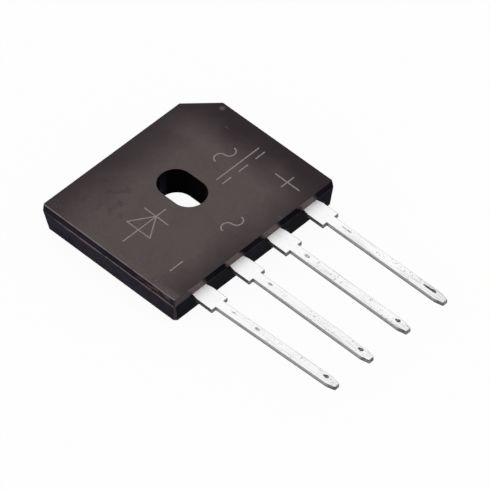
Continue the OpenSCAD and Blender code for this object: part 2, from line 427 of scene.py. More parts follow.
class Shader:
    """Writes the nodes of one procedural material, or of a world, on object coordinates."""

    def __init__(self, name: str, of_world: bool = False) -> None:
        """Start an empty material or world.

        Args:
            name: the material's or the world's name.
            of_world: whether it is a world.
        """
        self.owner = (bpy.data.worlds if of_world else bpy.data.materials).new(name)
        self.owner.use_nodes = True
        self.tree = self.owner.node_tree
        self.tree.nodes.clear()
        self.place = self.node("ShaderNodeTexCoord").outputs["Object"]

    def node(self, kind: str, **settings: object) -> bpy.types.Node:
        """Add a node and set its properties, and return it.

        Args:
            kind: the node's type.
            settings: the node's properties by name.

        Returns:
            The node.
        """
        made = self.tree.nodes.new(kind)
        for name, value in settings.items():
            setattr(made, name, value)
        return made

    def feed(self, made: bpy.types.Node, inputs: dict) -> None:
        """Set or link a node's inputs.

        Args:
            made: the node.
            inputs: for each input's name or number, a value or the socket that feeds it.
        """
        for key, value in inputs.items():
            if isinstance(value, Socket):
                self.tree.links.new(value, made.inputs[key])
            else:
                made.inputs[key].default_value = value

    def stretched(self, scale: Sequence[float]) -> Socket:
        """Return the object coordinates multiplied along each axis.

        Args:
            scale: how many times larger they get along each axis.

        Returns:
            The coordinates.
        """
        made = self.node("ShaderNodeMapping", vector_type="POINT")
        self.feed(made, {"Vector": self.place, "Scale": tuple(scale)})
        return made.outputs["Vector"]

    def axes(self) -> Sequence[Socket]:
        """Return X, Y and Z of the object coordinates, in metres.

        Returns:
            The three sockets.
        """
        made = self.node("ShaderNodeSeparateXYZ")
        self.feed(made, {"Vector": self.place})
        return made.outputs

    def math(self, operation: str, *values: object) -> Socket:
        """Return the outcome of a sum on one to three values or sockets.

        Args:
            operation: the operation, by the node's name for it.
            values: one to three values or sockets.

        Returns:
            The outcome.
        """
        made = self.node("ShaderNodeMath", operation=operation)
        self.feed(made, dict(enumerate(values)))
        return made.outputs[0]

    def times(self, *values: object) -> Socket:
        """Return the product of several values or sockets.

        Args:
            values: the values or sockets.

        Returns:
            The product.
        """
        product = values[0]
        for value in values[1:]:
            product = self.math("MULTIPLY", product, value)
        return product

    def noise(
        self, size_mm: float, detail: float = 2.0, stretch: Sequence[float] = (1, 1, 1)
    ) -> Socket:
        """Return soft noise of 0 to 1.

        Args:
            size_mm: the size of its blots, in millimetres.
            detail: how many finer layers it has.
            stretch: how many times finer it is along each axis.

        Returns:
            The noise's value.
        """
        made = self.node("ShaderNodeTexNoise", noise_dimensions="3D")
        place = self.stretched(stretch)
        self.feed(made, {"Vector": place, "Scale": 1 / (size_mm * MM), "Detail": detail})
        return made.outputs["Fac"]

    def ease(
        self, value: object, start: float, end: float, low: float = 0.0, high: float = 1.0
    ) -> Socket:
        """Return a value that goes smoothly from low at start to high at end.

        Args:
            value: the value or socket that leads.
            start: where the change starts.
            end: where it ends, above or below the start.
            low: the outcome up to the start.
            high: the outcome from the end on.

        Returns:
            The outcome.
        """
        made = self.node("ShaderNodeMapRange", interpolation_type="SMOOTHSTEP", clamp=True)
        flipped = start > end
        first, last = (end, start) if flipped else (start, end)
        near, far = (high, low) if flipped else (low, high)
        self.feed(
            made,
            {"Value": value, "From Min": first, "From Max": last, "To Min": near, "To Max": far},
        )
        return made.outputs["Result"]

    def ramp(
        self, place: object, start_mm: float, end_mm: float, low: float = 0.0, high: float = 1.0
    ) -> Socket:
        """Return what ease does, between two places in millimetres."""
        return self.ease(place, start_mm * MM, end_mm * MM, low, high)

    def around(
        self, value: object, start: float, end: float, middle: float, spread: float
    ) -> Socket:
        """Return what ease does, from spread under a middle value to spread over it."""
        return self.ease(value, start, end, middle - spread, middle + spread)

    def mix(self, share: object, first: object, second: object) -> Socket:
        """Return a colour between two, by a share of 0 to 1.

        Args:
            share: the second colour's share.
            first: the colour at a share of 0.
            second: the colour at a share of 1.

        Returns:
            The colour.
        """
        made = self.node("ShaderNodeMix", data_type="RGBA", blend_type="MIX")
        self.feed(made, {0: share, 6: first, 7: second})
        return made.outputs[2]

    def bump(self, height: object, depth_mm: float) -> Socket:
        """Return a normal roughened by a height of 0 to 1.

        Args:
            height: the height's value or socket.
            depth_mm: how deep a height of 1 is, in millimetres.

        Returns:
            The new normal.
        """
        made = self.node("ShaderNodeBump")
        self.feed(made, {"Height": height, "Distance": depth_mm * MM, "Strength": 1.0})
        return made.outputs["Normal"]

    def directly_seen(self) -> Socket:
        """Return 1 for what the eye sees, plain, mirrored or through glass, and else 0.

        Returns:
            The 1 or 0.
        """
        rays = self.node("ShaderNodeLightPath").outputs
        seen = self.math("MAXIMUM", rays["Is Camera Ray"], rays["Is Glossy Ray"])
        return self.math("MAXIMUM", seen, rays["Is Transmission Ray"])

    def show(
        self, surface: Socket, kind: str = "ShaderNodeOutputMaterial"
    ) -> bpy.types.Material | bpy.types.World:
        """Feed the output node and return the finished material or world."""
        self.feed(self.node(kind), {"Surface": surface})
        return self.owner

    def close(self, **inputs: object) -> bpy.types.Material:
        """Feed the surface shader and return the finished material.

        Args:
            inputs: the shader's inputs, with _ for each space in a name.

        Returns:
            The material.
        """
        surface = self.node("ShaderNodeBsdfPrincipled")
        self.feed(surface, {name.replace("_", " "): value for name, value in inputs.items()})
        return self.show(surface.outputs["BSDF"])


@dataclass(frozen=True)
class Compound:
    """Black epoxy moulding compound: satin, finely grained, with soft cloudy patches."""

    name: str
    light: Colour
    dark: Colour
    roughness: float
    gloss: float
    grain_mm: float = 0.07
    grain_depth: float = 0.004
    cloud_mm: float = 3.0

    def tint(self, shader: Shader) -> Socket:
        """Return the colour: clouds of two shades under a fine grain.

        Args:
            shader: the material that is being written.

        Returns:
            The colour.
        """
        clouds = shader.ease(shader.noise(self.cloud_mm, 4.0), 0.3, 0.7)
        grain = shader.around(shader.noise(self.grain_mm, 1.0), 0.25, 0.75, 0.0, 0.15)
        return shader.mix(shader.math("ADD", clouds, grain), self.dark, self.light)

    def build(self) -> bpy.types.Material:
        """Return the finished material."""
        shader = Shader(self.name)
        return shader.close(
            Base_Color=self.tint(shader),
            Roughness=shader.around(shader.noise(1.2, 3.0), 0.2, 0.8, self.roughness, 0.06),
            Specular_IOR_Level=self.gloss,
            Normal=shader.bump(shader.noise(self.grain_mm, 2.0), self.grain_depth),
        )


@dataclass(frozen=True)
class MarkedFace(Compound):
    """The marked face: grey-brown painted sheen in its middle, fading out near its edges."""

    # painted sheen: the lighter grey-brown stands in for light that the satin face reflects,
    # strongest in its middle
    painted_sheen: Colour = tone(86, 76, 76)
    powder: Colour = tone(150, 144, 142)
    blotch: Point = (-6.2, 4.0)
    blotch_reach: Point = (4.4, 1.6)
    nick: Point = (10.25, 4.75)
    nick_reach: Point = (0.42, 0.05)
    wander: float = 0.7
    fade_right: Point = (10.3, 4.8)
    fade_left: Point = (-11.0, -9.6)
    fade_far: Point = (9.7, 1.5)
    fade_near: Point = (-11.3, -5.4)
    kept_by_left: Point = (-9.2, -10.6)
    dusty_edge: Point = (-8.6, -10.6)

    def fade(self, shader: Shader) -> Socket:
        """Return how strong the painted sheen is: 1 in the middle, less at each edge.

        Args:
            shader: the material that is being written.

        Returns:
            The strength.
        """
        x, y, _ = shader.axes()
        drift = shader.around(shader.noise(4.0, 3.0), 0.25, 0.75, 0.0, self.wander * MM)
        across = shader.math("ADD", x, drift)
        along = shader.math("ADD", y, drift)
        right = shader.ramp(across, *self.fade_right)
        left = shader.ramp(x, *self.fade_left, 1.08, 1.0)
        far = shader.ramp(along, *self.fade_far, 0.1, 1.0)
        by_left = shader.ramp(x, *self.kept_by_left, 0.0, 0.86)
        near = shader.math("MAXIMUM", shader.ramp(along, *self.fade_near, 0.2, 1.0), by_left)
        return shader.times(right, left, far, near)

    def round_spot(self, shader: Shader, middle: Point, reach: Point) -> Socket:
        """Return a soft round spot.

        Args:
            shader: the material that is being written.
            middle: the spot's centre, in millimetres.
            reach: how far out it ends, and how far out it is full, in millimetres.

        Returns:
            The spot's strength, 0 to 1.
        """
        x, y, _ = shader.axes()
        aside = shader.math("SUBTRACT", x, middle[0] * MM)
        along = shader.math("SUBTRACT", y, middle[1] * MM)
        square = shader.math("ADD", shader.times(aside, aside), shader.times(along, along))
        return shader.ramp(shader.math("SQRT", square), *reach)

    def stains(self, shader: Shader) -> Socket:
        """Return the dark blotches on the far left of the face, 0 to 1.

        Args:
            shader: the material that is being written.

        Returns:
            The strength.
        """
        place = self.round_spot(shader, self.blotch, self.blotch_reach)
        blots = shader.ease(shader.noise(1.1, 4.0), 0.52, 0.66)
        return shader.times(place, blots, 0.3)

    def dust(self, shader: Shader) -> Socket:
        """Return where pale dust sits, mostly along the left edge, 0 to 1.

        Args:
            shader: the material that is being written.

        Returns:
            The strength.
        """
        specks = shader.ease(shader.noise(0.15, 1.0), 0.64, 0.76)
        patches = shader.ease(shader.noise(2.2, 2.0), 0.47, 0.62)
        by_edge = shader.ramp(shader.axes()[0], *self.dusty_edge, 0.16, 1.0)
        return shader.times(specks, patches, by_edge, 0.55)

    def scratches(self, shader: Shader) -> Socket:
        """Return a few faint fine scratches, 0 to 1.

        Args:
            shader: the material that is being written.

        Returns:
            The strength.
        """
        lines = shader.ease(shader.noise(0.35, 1.0, (1.0, 0.05, 1.0)), 0.7, 0.76)
        places = shader.ease(shader.noise(2.5, 1.0), 0.56, 0.66)
        return shader.times(lines, places, 0.16)

    def tint(self, shader: Shader) -> Socket:
        """Return the colour: the compound under its painted sheen, with dust and wear on top.

        Args:
            shader: the material that is being written.

        Returns:
            The colour.
        """
        clouds = shader.ease(shader.noise(self.cloud_mm, 4.0), 0.3, 0.7, 0.93, 1.05)
        mottle = shader.ease(shader.noise(0.4, 3.0), 0.3, 0.7, 0.94, 1.06)
        grain = shader.ease(shader.noise(self.grain_mm, 1.0), 0.25, 0.75, 0.9, 1.08)
        clean = shader.math("SUBTRACT", 1.0, self.stains(shader))
        # the painted sheen's strength, which falls off towards the edges
        strength = shader.times(clouds, mottle, grain, clean, self.fade(shader))
        sheened_face = shader.mix(strength, self.dark, self.painted_sheen)
        nick = shader.times(self.round_spot(shader, self.nick, self.nick_reach), 0.28)
        pale = shader.math("MAXIMUM", self.dust(shader), self.scratches(shader))
        return shader.mix(shader.math("MAXIMUM", pale, nick), sheened_face, self.powder)


@dataclass(frozen=True)
class SideWall(Compound):
    """A side wall: a brown scuff on its upper band towards the lead end."""

    scuff: Colour = tone(88, 76, 74)
    parting: float = 2.5

    def tint(self, shader: Shader) -> Socket:
        """Return the colour: the compound, with broken scuff marks above the parting.

        Args:
            shader: the material that is being written.

        Returns:
            The colour.
        """
        x, y, z = shader.axes()
        upper = shader.ramp(z, self.parting + 0.1, self.parting + 0.3)
        left = shader.ramp(x, -10.0, -10.5)
        towards_leads = shader.ramp(y, -3.0, -9.6)
        broken = shader.ease(shader.noise(0.35, 4.0, (1.0, 0.3, 1.0)), 0.44, 0.62)
        flecks = shader.times(shader.ease(shader.noise(0.14, 1.0), 0.66, 0.76), 0.35)
        share = shader.times(upper, left, towards_leads, broken, 0.75)
        under = shader.ramp(z, self.parting - 0.5, self.parting - 0.1)
        below = shader.ramp(z, self.parting + 0.05, self.parting - 0.05)
        from_corner = shader.ramp(y, 7.0, 4.6)
        smear = shader.times(under, below, left, from_corner, broken, 0.55)
        worn = shader.math("MAXIMUM", shader.math("MAXIMUM", share, smear), flecks)
        return shader.mix(worn, super().tint(shader), self.scuff)


@dataclass(frozen=True)
class EndWall(Compound):
    """The end wall: a painted reflection of each lead above its root, and paler at its left upper
    corner.
    """

    # painted reflection: the pale tone over each lead's root stands in for the lead mirrored in the
    # wall; the left upper corner takes the same tone
    reflection_and_corner_pale: Colour = tone(95, 84, 84)
    pitch: float = 5.08
    parting: float = 2.5
    face: float = 3.43
    reflection_half: float = 1.0
    reflection_soft: float = 0.35
    reflection_slant: float = 0.6
    corner: float = 8.7

    def tint(self, shader: Shader) -> Socket:
        """Return the colour: the compound, with painted lead reflections and a paler left corner on
        the upper band.

        Args:
            shader: the material that is being written.

        Returns:
            The colour.
        """
        x, _, z = shader.axes()
        height = shader.math("SUBTRACT", z, self.parting * MM)
        slant = shader.times(height, self.reflection_slant / (self.face - self.parting))
        wander = shader.around(shader.noise(0.35, 3.0), 0.2, 0.8, 0.0, 0.16 * MM)
        moved = shader.math("ADD", shader.math("ADD", x, slant), wander)
        wrapped = shader.math("WRAP", moved, self.pitch * MM, 0.0)
        aside = shader.math("SUBTRACT", wrapped, self.pitch / 2 * MM)
        from_lead = shader.math("ABSOLUTE", aside)
        # painted reflection of each lead, in a band that slants with height
        over_lead = shader.ramp(
            from_lead, self.reflection_half + self.reflection_soft, self.reflection_half - self.reflection_soft
        )
        at_left = shader.ramp(x, 0.5 - self.corner, -0.4 - self.corner, 0.0, 0.62)
        pale_share = shader.math("MAXIMUM", over_lead, at_left)
        upper = shader.ramp(height, -0.02, 0.07)
        # noise that breaks up the painted reflections and the paler corner
        wear_and_patchiness = shader.ease(shader.noise(0.4, 3.0), 0.25, 0.6, 0.75, 1.0)
        return shader.mix(shader.times(pale_share, upper, wear_and_patchiness), super().tint(shader), self.reflection_and_corner_pale)


@dataclass(frozen=True)
class PartingFlash(Compound):
    """The flash where the two mould halves met: a painted highlight along the left wall only."""

    # painted highlight: the pale tone stands in for light caught by the flash ridge
    pale: Colour = tone(136, 121, 116)

    def tint(self, shader: Shader) -> Socket:
        """Return the colour: the compound, with a broken painted highlight on the left wall.

        Args:
            shader: the material that is being written.

        Returns:
            The colour.
        """
        x, y, _ = shader.axes()
        left = shader.ramp(x, -10.6, -10.8)
        from_corner = shader.ramp(y, 7.0, 5.6, 0.1, 1.0)
        broken = shader.ease(shader.noise(0.7, 3.0), 0.36, 0.56, 0.25, 1.0)
        return shader.mix(
            shader.times(left, from_corner, broken), super().tint(shader), self.pale
        )


@dataclass(frozen=True)
class HighlitWornRim(Compound):
    """The face's left rim: paler in stretches, rubbed bare and a painted highlight of the rounded
    rim, dark between them.
    """

    def tint(self, shader: Shader) -> Socket:
        """Return the colour: long broken stretches of the pale shade, wear and painted highlight
        together.

        Args:
            shader: the material that is being written.

        Returns:
            The colour.
        """
        # pale stretches: painted highlight of the rounded rim, broken up like wear
        stretches = shader.ease(shader.noise(1.6, 4.0), 0.24, 0.5, 0.3, 1.0)
        grain = shader.ease(shader.noise(0.12, 1.0), 0.3, 0.7, 0.75, 1.2)
        return shader.mix(shader.times(stretches, grain), self.dark, self.light)


@dataclass(frozen=True)
class LaserMark:
    """The pale, slightly foamed skin that a laser leaves on the compound."""

    name: str = "laser_mark"
    pale: Colour = tone(154, 149, 147)
    burnt: Colour = tone(118, 112, 110)

    def build(self) -> bpy.types.Material:
        """Return the finished material.

        Returns:
            The material.
        """
        shader = Shader(self.name)
        foam = shader.noise(0.09, 3.0)
        colour = shader.mix(shader.ease(foam, 0.3, 0.65), self.burnt, self.pale)
        return shader.close(
            Base_Color=colour,
            Roughness=0.8,
            Specular_IOR_Level=0.2,
            Normal=shader.bump(foam, 0.01),
        )


@dataclass(frozen=True)
class TinPlate:
    """Bright tin plating on flat strip: fine lines along the lead and a few dull specks."""

    name: str = "tin_plate"
    bright: Colour = (0.955, 0.955, 0.955, 1.0)
    dull: Colour = (0.36, 0.34, 0.34, 1.0)
    roughness: float = 0.4

    def wear_and_patchiness(self, shader: Shader) -> Socket:
        """Return how handled the plating is: more towards the tips and the plus side.

        Args:
            shader: the material that is being written.

        Returns:
            The strength.
        """
        x, y, _ = shader.axes()
        outer = shader.ramp(y, -12.5, -19.0)
        plus_side = shader.ramp(x, -8.0, 8.0, 0.6, 1.0)
        return shader.times(outer, plus_side)

    def build(self) -> bpy.types.Material:
        """Return the finished material.

        Returns:
            The material.
        """
        shader = Shader(self.name)
        wear_and_patchiness = self.wear_and_patchiness(shader)
        lines = shader.noise(0.2, 3.0, (1.0, 0.06, 1.0))
        brushed = shader.times(shader.ease(lines, 0.48, 0.64), wear_and_patchiness, 0.34)
        specks = shader.ease(shader.noise(0.17, 1.0, (1.0, 0.7, 1.0)), 0.6, 0.7)
        areas = shader.ease(shader.noise(1.3, 2.0, (1.0, 0.4, 1.0)), 0.4, 0.58)
        worn = shader.times(specks, areas, shader.math("ADD", wear_and_patchiness, 0.16), 0.75)
        hazy = shader.ease(shader.noise(2.4, 2.0, (1.0, 0.3, 1.0)), 0.3, 0.7)
        haze = shader.times(hazy, wear_and_patchiness, 0.2)
        share = shader.math("ADD", shader.math("MAXIMUM", worn, brushed), haze)
        satin = shader.around(lines, 0.2, 0.8, self.roughness, 0.05)
        at_root = shader.ramp(shader.axes()[1], -11.6, -10.2, 0.0, 0.25)
        return shader.close(
            Base_Color=shader.mix(share, self.bright, self.dull),
            Metallic=1.0,
            Roughness=shader.math("ADD", satin, at_root),
            Normal=shader.bump(lines, 0.0008),
        )


@dataclass(frozen=True)
class ShearedEdge:
    """The stamped side of a lead: dull and torn, with painted shade beside the body."""

    name: str = "sheared_edge"
    torn: Colour = tone(112, 106, 107)
    burnished: Colour = tone(160, 156, 157)
    # dark tone: painted shade beside the body, and the torn metal near the tip
    shade_and_torn_tip: Colour = tone(66, 61, 64)
    break_line: Point = (2.28, 2.16)
    shoulder_end: float = -12.8
    tip_start: float = -27.2

    def build(self) -> bpy.types.Material:
        """Return the finished material.

        Returns:
            The material.
        """
        shader = Shader(self.name)
        _, y, z = shader.axes()
        wander = shader.around(shader.noise(0.8, 2.0), 0.2, 0.8, 0.0, 0.07 * MM)
        lower = shader.ramp(shader.math("ADD", z, wander), *self.break_line)
        streaks = shader.ease(shader.noise(0.1, 2.0, (1.0, 1.0, 0.15)), 0.3, 0.7, 0.0, 0.3)
        outer = shader.mix(shader.math("SUBTRACT", lower, streaks), self.burnished, self.torn)
        # painted shade: darker beside the body, where the side mirrors the table in the body's
        # shadow
        painted_shade_by_body = shader.ramp(y, self.shoulder_end - 0.3, self.shoulder_end + 0.3)
        torn_tip = shader.ramp(y, self.tip_start + 0.2, self.tip_start - 0.3)
        ragged = shader.ease(shader.noise(0.4, 2.0), 0.4, 0.56, 0.35, 1.0)
        dark = shader.math("MAXIMUM", painted_shade_by_body, shader.times(torn_tip, ragged, 0.85))
        return shader.close(
            Base_Color=shader.mix(dark, outer, self.shade_and_torn_tip),
            Metallic=0.7,
            Roughness=0.5,
            Normal=shader.bump(shader.noise(0.08, 2.0), 0.01),
        )


@dataclass(frozen=True)
class Metal:
    """A plain metal of the sealed circuit: two shades in patches, with fine relief."""

    name: str
    light: Colour
    dark: Colour
    roughness: float
    patch_mm: float = 0.8
    relief: float = 0.006
    metallic: float = 1.0

    def build(self) -> bpy.types.Material:
        """Return the finished material.

        Returns:
            The material.
        """
        shader = Shader(self.name)
        patches = shader.noise(self.patch_mm, 4.0)
        colour = shader.mix(shader.ease(patches, 0.3, 0.7), self.dark, self.light)
        return shader.close(
            Base_Color=colour,
            Metallic=self.metallic,
            Roughness=shader.around(patches, 0.2, 0.8, self.roughness, 0.08),
            Normal=shader.bump(shader.noise(self.patch_mm / 5, 2.0), self.relief),
        )


@dataclass(frozen=True)
class Paper:
    """The white table: it keeps a faint shadow and is plain white to the eye and in metal."""

    name: str = "white_table"
    albedo: float = 0.93
    lift: float = 0.93

    def build(self) -> bpy.types.Material:
        """Return the finished material.

        Returns:
            The material.
        """
        shader = Shader(self.name)
        grain = shader.around(shader.noise(0.6, 2.0), 0.3, 0.7, self.albedo, 0.01)
        surface = shader.node("ShaderNodeBsdfDiffuse")
        shader.feed(surface, {"Color": grain})
        glow = shader.node("ShaderNodeEmission")
        shader.feed(glow, {"Color": (1, 1, 1, 1), "Strength": 1.0})
        share = shader.times(shader.directly_seen(), self.lift)
        blend = shader.node("ShaderNodeMixShader")
        shader.feed(blend, {0: share, 1: surface.outputs[0], 2: glow.outputs[0]})
        return shader.show(blend.outputs[0])


class Finish(Enum):
    """Every finish on the object, each built once and kept by its name."""

    FACE = MarkedFace("marked_face", tone(84, 76, 75), tone(41, 33, 37), 0.55, 0.1)
    WALL = SideWall("moulded_wall", tone(36, 32, 42), tone(24, 21, 30), 0.5, 0.01)
    # painted shade: the end wall is a darker copy of the wall compound, standing in for the shade
    # it faces
    END_WALL = EndWall("end_wall", tone(17, 14, 23), tone(8, 6, 12), 0.45, 0.008)
    BACK = Compound("heatsink_face", tone(48, 44, 45), tone(36, 33, 35), 0.5, 0.2)
    RIM = HighlitWornRim("worn_rim_highlight", tone(122, 113, 112), tone(62, 54, 54), 0.4, 0.2, 0.1)
    CORNER = Compound("rubbed_corner", tone(64, 55, 54), tone(28, 25, 31), 0.5, 0.03, cloud_mm=0.5)
    PARTING = PartingFlash("parting_flash", tone(40, 36, 42), tone(24, 21, 28), 0.5, 0.05)
    # painted shade: the slot's walls are near black for the shade inside the slot
    SLOT = Compound("slot_wall", tone(7, 6, 10), tone(2, 2, 4), 0.5, 0.002)
    SEALED = Compound("sealed_wall", tone(30, 27, 32), tone(20, 18, 22), 0.6, 0.1)
    MARK = LaserMark()
    TIN = TinPlate()
    SHEARED = ShearedEdge()
    DENT = Metal("dent", tone(226, 223, 223), tone(150, 146, 147), 0.45, 0.2)
    PUNCH = Metal("punch_mark", tone(132, 127, 128), tone(52, 48, 50), 0.45, 0.3)
    COPPER = Metal("rolled_copper", (0.80, 0.42, 0.26, 1), (0.62, 0.30, 0.18, 1), 0.35)
    SOLDER = Metal("reflowed_solder", (0.62, 0.63, 0.64, 1), (0.40, 0.41, 0.42, 1), 0.4, 0.4, 0.012)
    SILICON = Metal(
        "silicon_chip", (0.13, 0.14, 0.18, 1), (0.08, 0.09, 0.12, 1), 0.2, 1.2, 0.001, 0.6
    )

    def material(self) -> bpy.types.Material:
        """Return the finish's material, built when it is first asked for."""
        return bpy.data.materials.get(self.value.name) or self.value.build()


def dress(piece: Piece, finishes: Sequence[Finish]) -> None:
    """Give a piece its finishes as material slots, in order, in place of any it has.

    Args:
        piece: the object to dress.
        finishes: its finishes, in the order of their slots.
    """
    piece.data.materials.clear()
    for finish in finishes:
        piece.data.materials.append(finish.material())


def assign(piece: Piece, number: int) -> None:
    """Give the selected faces of an open piece the finish in one of its slots."""
    piece.active_material_index = number
    bpy.ops.object.material_slot_assign()


# ------------------------------------------------------------------------ body


@dataclass
class Marking:
    """The laser marks on the face: polarity signs and two circuit signs."""

    level: float
    depth: float = 0.03
    width: float = 0.16
    height: float = 3.2
    sign_width: float = 1.66
    polarity_y: float = -6.9
    outer_lead: float = 7.62
    wave_radius: float = 0.64
    wave_lap: float = 4.0
    symbol_out: float = 6.0
    symbol_down: float = 0.85
    symbol_length: float = 5.8
    tools: list = field(default_factory=list)

    def keep(self, tool: Piece) -> None:
        """Dress a cutting tool in the mark's finish and keep it for the cut."""
        dress(tool, [Finish.MARK])
        self.tools.append(tool)

    def dot(self, at: Point) -> None:
        """Add a round tool of the stroke's width, which rounds a stroke's end.

        Args:
            at: its centre in X and Y, in millimetres.
        """
        clear()
        bpy.ops.mesh.primitive_cylinder_add(
            vertices=12, radius=self.width / 2, depth=2 * self.depth, location=(*at, self.level)
        )
        self.keep(settle_place("mark_end"))

    def stroke(self, start: Point, end: Point) -> None:
        """Add a straight stroke with round ends between two points.

        Args:
            start: where it starts, in millimetres.
            end: where it ends, in millimetres.
        """
        first, last = Vector(start), Vector(end)
        middle = (first + last) / 2
        turn = math.atan2(last.y - first.y, last.x - first.x)
        clear()
        bpy.ops.mesh.primitive_cube_add(
            size=1, location=(middle.x, middle.y, self.level), rotation=(0, 0, turn)
        )
        bpy.context.object.scale = ((last - first).length, self.width, 2 * self.depth)
        self.keep(settle_place("mark_stroke"))
        self.dot(start)
        self.dot(end)

    def arc(self, middle: Point, start: float, sweep: float) -> None:
        """Add a curved stroke by spinning its cross-section.

        Args:
            middle: the arc's centre.
            start: the angle at which it starts, in degrees.
            sweep: how far it turns anticlockwise, in degrees.
        """
        radius = self.wave_radius
        profile = sheet("mark_arc", (-self.width / 2, -self.depth), (self.width / 2, self.depth), 0)
        take(profile)
        profile.rotation_euler = (math.pi / 2, 0, math.radians(start))
        along = Vector((math.cos(math.radians(start)), math.sin(math.radians(start))))
        profile.location = (middle[0] + radius * along.x, middle[1] + radius * along.y, self.level)
        settle_place("mark_arc")
        edit(profile, Kind.FACES)
        pick_all()
        bpy.ops.mesh.spin(
            steps=16, angle=-math.radians(sweep), center=(*middle, self.level), axis=(0, 0, 1)
        )
        pick_all()
        bpy.ops.mesh.normals_make_consistent(inside=False)
        clear()
        self.keep(profile)

    def wave(self, x: float, y: float) -> None:
        """Add a wave sign: an upper half ring, then a lower one that runs into it."""
        self.arc((x - self.wave_radius, y), -self.wave_lap, 180 + self.wave_lap)
        self.arc((x + self.wave_radius, y), 180 - self.wave_lap, 180 + self.wave_lap)

    def polarity(self) -> None:
        """Add the minus, wave and plus signs over the leads."""
        half, y = self.sign_width / 2, self.polarity_y
        for side in (-1, 1):
            x = side * self.outer_lead
            self.stroke((x - half, y), (x + half, y))
        rise = self.height / 2
        self.stroke((self.outer_lead, y - rise), (self.outer_lead, y + rise))
        self.wave(0, y)

    def diode(self) -> None:
        """Add the circuit sign of a diode, left of the slot."""
        x, y = -self.symbol_out, -self.symbol_down
        half, rise = self.symbol_length / 2, self.height / 2
        tail, nose = x - self.sign_width / 2, x + rise
        self.stroke((x - half, y), (x + half, y))
        self.stroke((tail, y - rise), (tail, y + rise))
        self.stroke((tail, y - rise), (nose, y))
        self.stroke((tail, y + rise), (nose, y))
        self.stroke((nose, y - rise), (nose, y + rise))

    def supply(self) -> None:
        """Add a wave over a plain and a broken line, right of the slot."""
        x, y = self.symbol_out, -self.symbol_down
        half, rise = self.symbol_length / 2, self.height / 2
        dash = self.symbol_length / 5
        plain = y - rise + self.height / 4
        self.wave(x, y + rise - self.wave_radius)
        self.stroke((x - half, plain), (x + half, plain))
        for place in (0, 2, 4):
            start = x - half + place * dash
            self.stroke((start, y - rise), (start + dash, y - rise))

    def engrave(self, piece: Piece) -> None:
        """Cut every mark into a piece.

        Args:
            piece: the body.
        """
        self.polarity()
        self.diode()
        self.supply()
        combine(piece, join("marking", self.tools), "DIFFERENCE")


